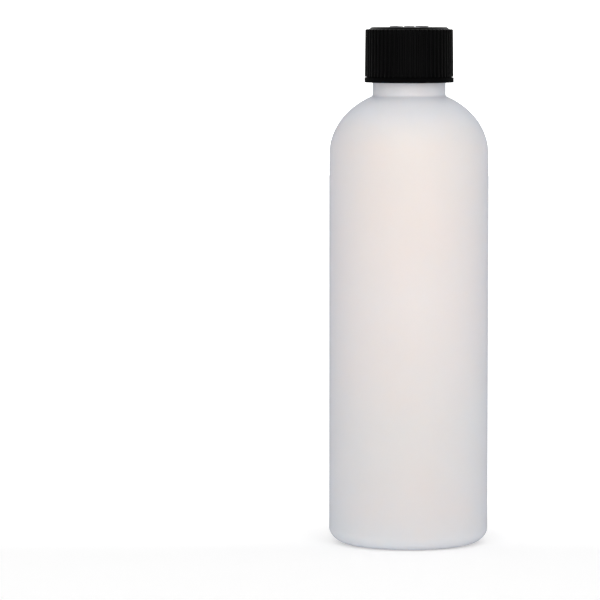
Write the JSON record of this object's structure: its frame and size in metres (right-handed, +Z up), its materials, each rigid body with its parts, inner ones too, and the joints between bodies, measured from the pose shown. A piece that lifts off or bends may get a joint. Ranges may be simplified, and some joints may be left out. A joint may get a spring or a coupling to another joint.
{
  "type": "child-resistant bottle",
  "caption": "Tall round blown plastic bottle with rounded shoulders and a screw neck, closed by a ribbed push-down-and-turn cap made of two shells and a foam liner.",
  "frame": {"origin": "middle of the ring that the bottle stands on, in the plane of that ring", "axes": "+Z up along the bottle's axis, out of the neck; the picture's front is -Y"},
  "size_m": [0.051, 0.051, 0.1661],
  "materials": {
    "bottle_plastic": "natural high-density polyethylene, milky and see-through in part, satin",
    "inner_cap_plastic": "natural white polypropylene, satin",
    "liner_foam": "fine closed-cell polyethylene foam, matt",
    "outer_cap_plastic": "black polypropylene, satin, with fine moulded ribs"
  },
  "bodies": {
    "bottle": {"bottle": "bottle_plastic"},
    "liner": {"liner": "liner_foam"},
    "inner_cap": {"inner_cap": "inner_cap_plastic"},
    "outer_cap": {"outer_cap": "outer_cap_plastic"}
  },
  "joints": [
    {"name": "cap_rise", "type": "slide", "parent": "bottle", "child": "liner", "axis": [0, 0, 1], "range_m": [0, 0.0048]},
    {"name": "cap_turn", "type": "hinge", "parent": "liner", "child": "inner_cap", "pos_m": [0, 0, 0.1598], "axis": [0, 0, 1], "range_deg": [0, 540]},
    {"name": "cap_push", "type": "slide", "parent": "inner_cap", "child": "outer_cap", "axis": [0, 0, 1], "range_m": [-0.0013, 0], "stiffness_N_per_m": 10000, "springref_m": 0.0005}
  ],
  "couplings": [
    {"joint": "cap_rise", "follows": "cap_turn", "m_per_rad": 0.00050532}
  ]
}
